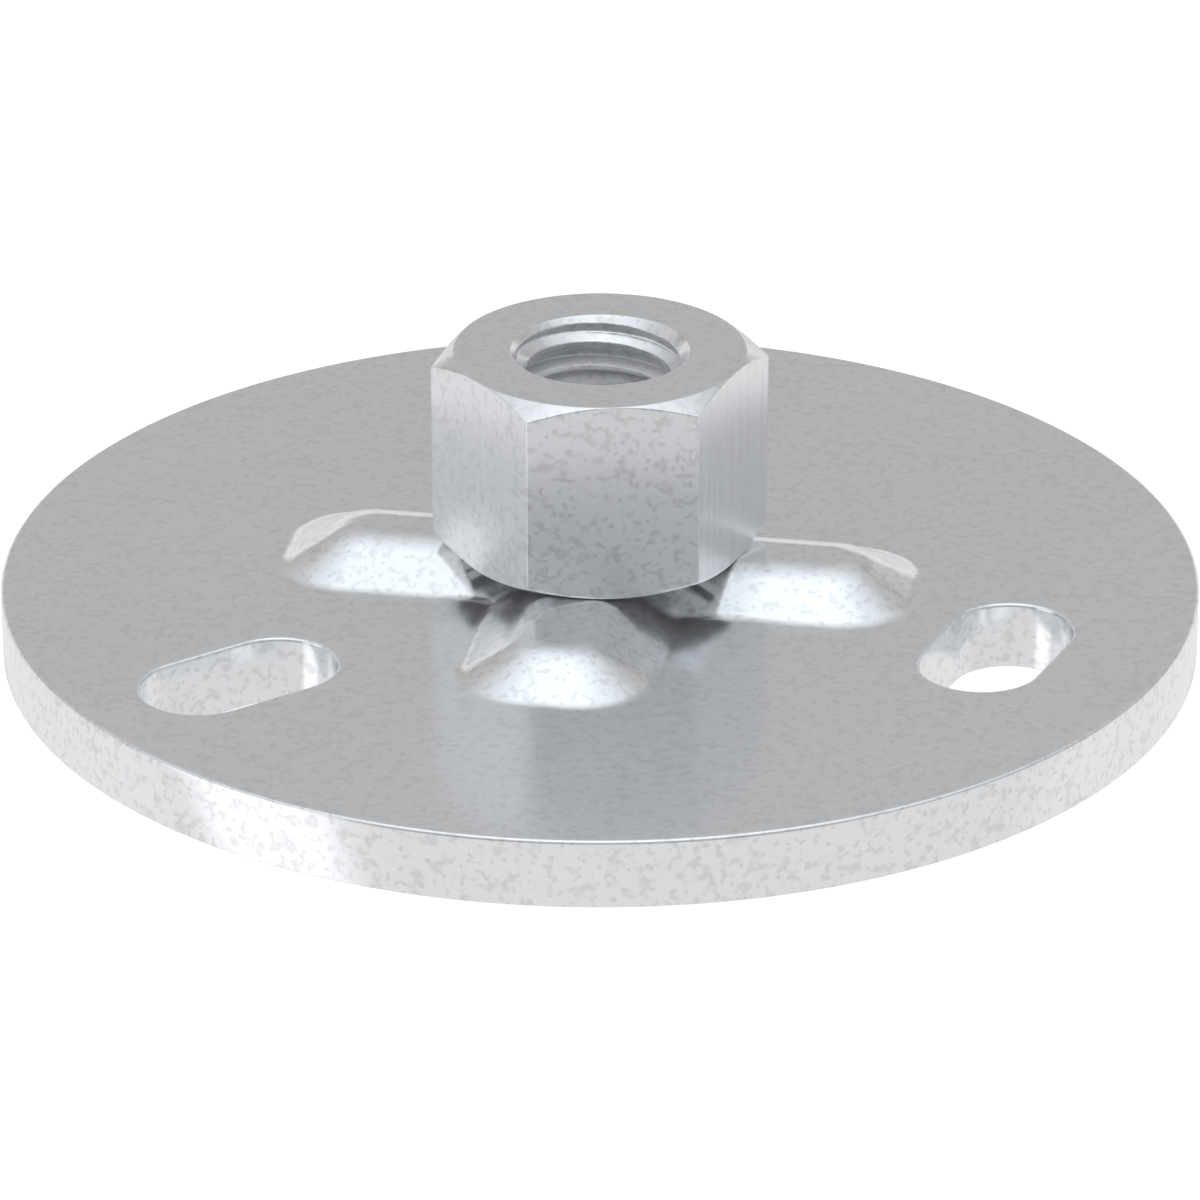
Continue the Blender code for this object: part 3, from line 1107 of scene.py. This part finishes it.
@dataclass(frozen=True)
class LightTent:
    """A dome round the part with soft cards on its wall, which only the metal's reflections see."""

    panels: tuple[Panel, ...] = TENT_PANELS
    radius: float = 2.0
    columns: int = 180
    rows: int = 120
    top_elevation: float = 89.5
    white: float = 0.785

    def _mesh(self) -> bpy.types.Mesh:
        """The dome's mesh, with its glow as an attribute.

        A point at azimuth a and elevation e is the radius times (cos(e) cos(a), cos(e) sin(a), sin(e)).
        Its glow is white with each panel laid over it in turn.

        Returns:
            The mesh, with its faces pointing inwards.
        """
        azimuth = np.linspace(0.0, 360.0, self.columns, endpoint=False)[None, :]
        elevation = np.linspace(-self.top_elevation, self.top_elevation, self.rows)[:, None]
        level = np.cos(np.radians(elevation))
        sideways, ahead = level * np.cos(np.radians(azimuth)), level * np.sin(np.radians(azimuth))
        up = np.broadcast_to(np.sin(np.radians(elevation)), sideways.shape)
        skin = Skin("light_tent")
        skin.add_tube(self.radius * np.stack([sideways, ahead, up], axis=-1), inward=True)
        data = skin.mesh_data()
        glow = np.full(sideways.shape + (3,), self.white)
        for panel in self.panels:
            log.debug("laying the %s on the tent's wall", panel.name)
            glow = panel.paint(glow, azimuth, elevation)
        colour = np.concatenate([glow, np.ones(sideways.shape + (1,))], axis=-1).astype(np.float32)
        data.attributes.new("glow", "FLOAT_COLOR", "POINT").data.foreach_set("color", colour.ravel())
        return data

    @staticmethod
    def _material() -> bpy.types.Material:
        """Make a black material that glows by the mesh's attribute.

        Returns:
            The material, which the renderer doesn't sample as a lamp.
        """
        material, kit, shader = plain_material("light_tent", BLACK)
        kit.feed(shader, "Emission Strength", 1.0)
        light = kit.add("Attribute", attribute_name="glow")
        kit.feed(shader, "Emission Color", light.outputs["Color"])
        material.cycles.emission_sampling = "NONE"
        return material

    def build(self) -> None:
        """Build the dome, light it and hide it from all but the reflections."""
        data = self._mesh()
        data.materials.append(self._material())
        tent = linked("light_tent", data)
        tent.visible_camera = False
        tent.visible_diffuse = False
        tent.visible_transmission = False
        tent.visible_shadow = False


@dataclass(frozen=True)
class Studio:
    """A pale floor, a white room with a light tent, and the camera at the photograph's viewing angle."""

    camera_place: tuple[float, float, float] = (0.06273, -0.35648, 0.17159)
    camera_aim: tuple[float, float, float] = (0.0, 0.0, 0.0020207)
    focal_length: float = 204.174
    sensor_width: float = 36.0
    clip_range: tuple[float, float] = (0.01, 20.0)
    floor_half_width: float = 3.0
    floor_glow: float = 0.9
    floor_colour: tuple[float, float, float, float] = (0.2, 0.2, 0.2, 1.0)

    def add_camera(self) -> None:
        """Set the camera where the photograph's perspective puts it."""
        data = bpy.data.cameras.new("camera")
        data.lens = self.focal_length
        data.sensor_width = self.sensor_width
        data.clip_start, data.clip_end = self.clip_range
        camera = linked("camera", data)
        camera.location = self.camera_place
        sight = Vector(self.camera_aim) - Vector(self.camera_place)
        camera.rotation_euler = sight.to_track_quat("-Z", "Y").to_euler()
        bpy.context.scene.camera = camera

    def add_floor(self) -> None:
        """Lay a square white floor that keeps a faint shadow and stays out of the metal's reflections."""
        side = self.floor_half_width * np.array([-1.0, 1.0])
        x, y = np.meshgrid(side, side)
        corners = np.stack([x, y, np.zeros_like(x)], axis=-1).reshape(-1, 3)
        data = bpy.data.meshes.new("floor")
        data.from_pydata(corners, [], [(0, 1, 3, 2)])
        floor = linked("floor", data)
        material, kit, shader = plain_material("pale_floor", self.floor_colour)
        kit.feed(shader, "Roughness", 1.0)
        kit.feed(shader, "Emission Color", WHITE)
        kit.feed(shader, "Emission Strength", self.floor_glow)
        data.materials.append(material)
        floor.visible_glossy = False

    def add_room(self) -> None:
        """Surround the part with a plain white room."""
        world = bpy.data.worlds.new("room")
        world.use_nodes = True
        bpy.context.scene.world = world
        background = world.node_tree.nodes["Background"]
        background.inputs["Color"].default_value = WHITE
        background.inputs["Strength"].default_value = 1.0

    def build(self) -> None:
        """Build the floor, the room, the light tent and the camera."""
        self.add_floor()
        self.add_room()
        LightTent().build()
        self.add_camera()
        bpy.context.scene.view_settings.view_transform = "Standard"


def stand_for(piece: bpy.types.Object, node: str, material: bpy.types.Material) -> None:
    """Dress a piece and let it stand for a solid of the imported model.

    Args:
        piece: The finished piece.
        node: The solid's name.
        material: The piece's material.
    """
    piece.data.materials.append(material)
    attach(piece, "root")
    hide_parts(node)
    log.info("%s stands for %s with %d faces", piece.name, node, len(piece.data.polygons))


def main() -> None:
    """Build the studio and both pieces."""
    logging.basicConfig(level=logging.INFO)
    plate_low, plate_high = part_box("base_plate")
    crown_height = 5.99 * MM
    weld_line = 0.01 * MM
    nut_height = 18.0 * MM

    Studio().build()
    groups = {"fleck": ZincFleck().build(), "marks": ToolMarks().build()}
    sheet_finish = ZincFinish(
        name="zinc_plated_sheet",
        colour=(0.84, 0.855, 0.875),
        roughness=0.18,
        fleck_depth=0.15,
        level_fleck_depth=0.09,
        level_band=(0.93, 0.995),
    )
    nut_finish = DrawnNutFinish(
        name="zinc_plated_nut",
        colour=(0.81, 0.82, 0.84),
        roughness=0.20,
        fleck_depth=0.17,
        level_fleck_depth=0.08,
        level_band=(0.6, 0.87),
    )

    plate = PressedPlate(radius=(plate_high.x - plate_low.x) / 2.0, crown_height=crown_height)
    stand_for(plate.build(), "base_plate", sheet_finish.material(groups))
    nut = HexagonNut(underside=crown_height + weld_line, end_face=nut_height)
    stand_for(nut.build(), "threaded_nut", nut_finish.material(groups))


if __name__ == "__main__":
    main()
